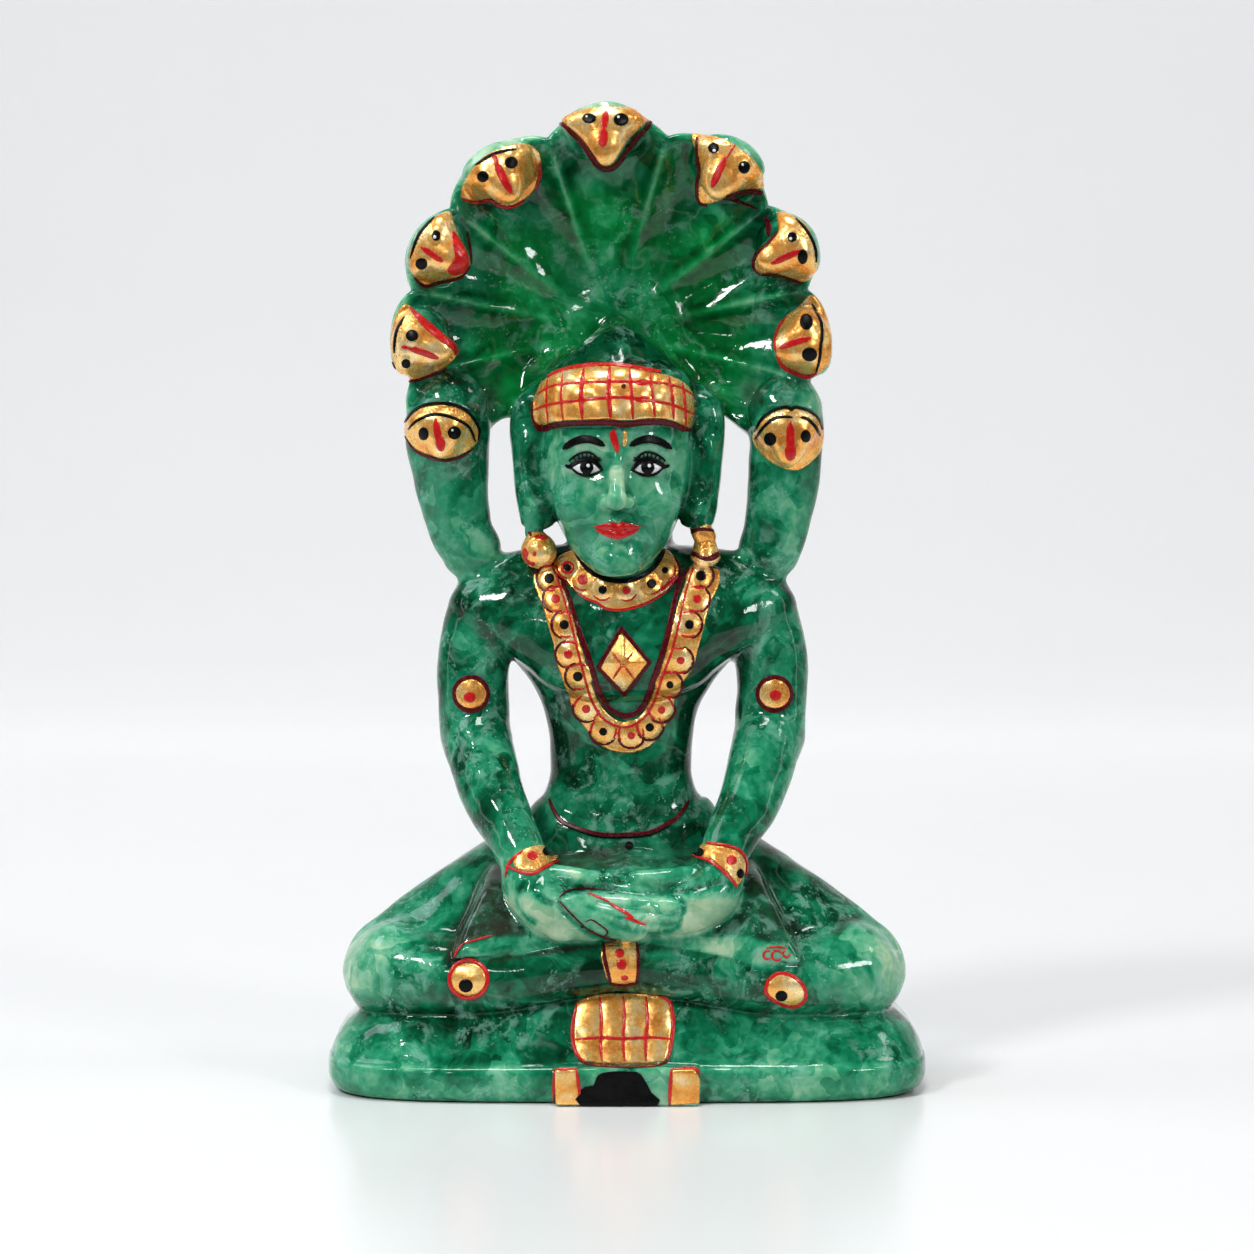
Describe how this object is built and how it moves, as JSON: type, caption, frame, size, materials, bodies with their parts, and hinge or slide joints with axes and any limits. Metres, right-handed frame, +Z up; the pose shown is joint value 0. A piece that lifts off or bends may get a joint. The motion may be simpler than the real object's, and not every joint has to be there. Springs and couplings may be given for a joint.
{
  "type": "parshvanath statue",
  "caption": "Small carved green stone statue of a seated, meditating figure under a many-headed serpent hood, with painted gilt ornament, cut in one piece with its plinth.",
  "frame": {"origin": "centre of the underside's outline, on the surface that the statue stands on", "axes": "+Z up, the figure faces -Y, +X towards the viewer's right"},
  "size_m": [0.0772, 0.041, 0.127],
  "materials": {
    "stone": "polished",
    "gilding": "leaf, burnished",
    "red_enamel": "gloss paint",
    "black_enamel": "gloss paint",
    "white_enamel": "gloss paint"
  },
  "bodies": {
    "root": {"seated_figure": "stone"}
  },
  "joints": []
}
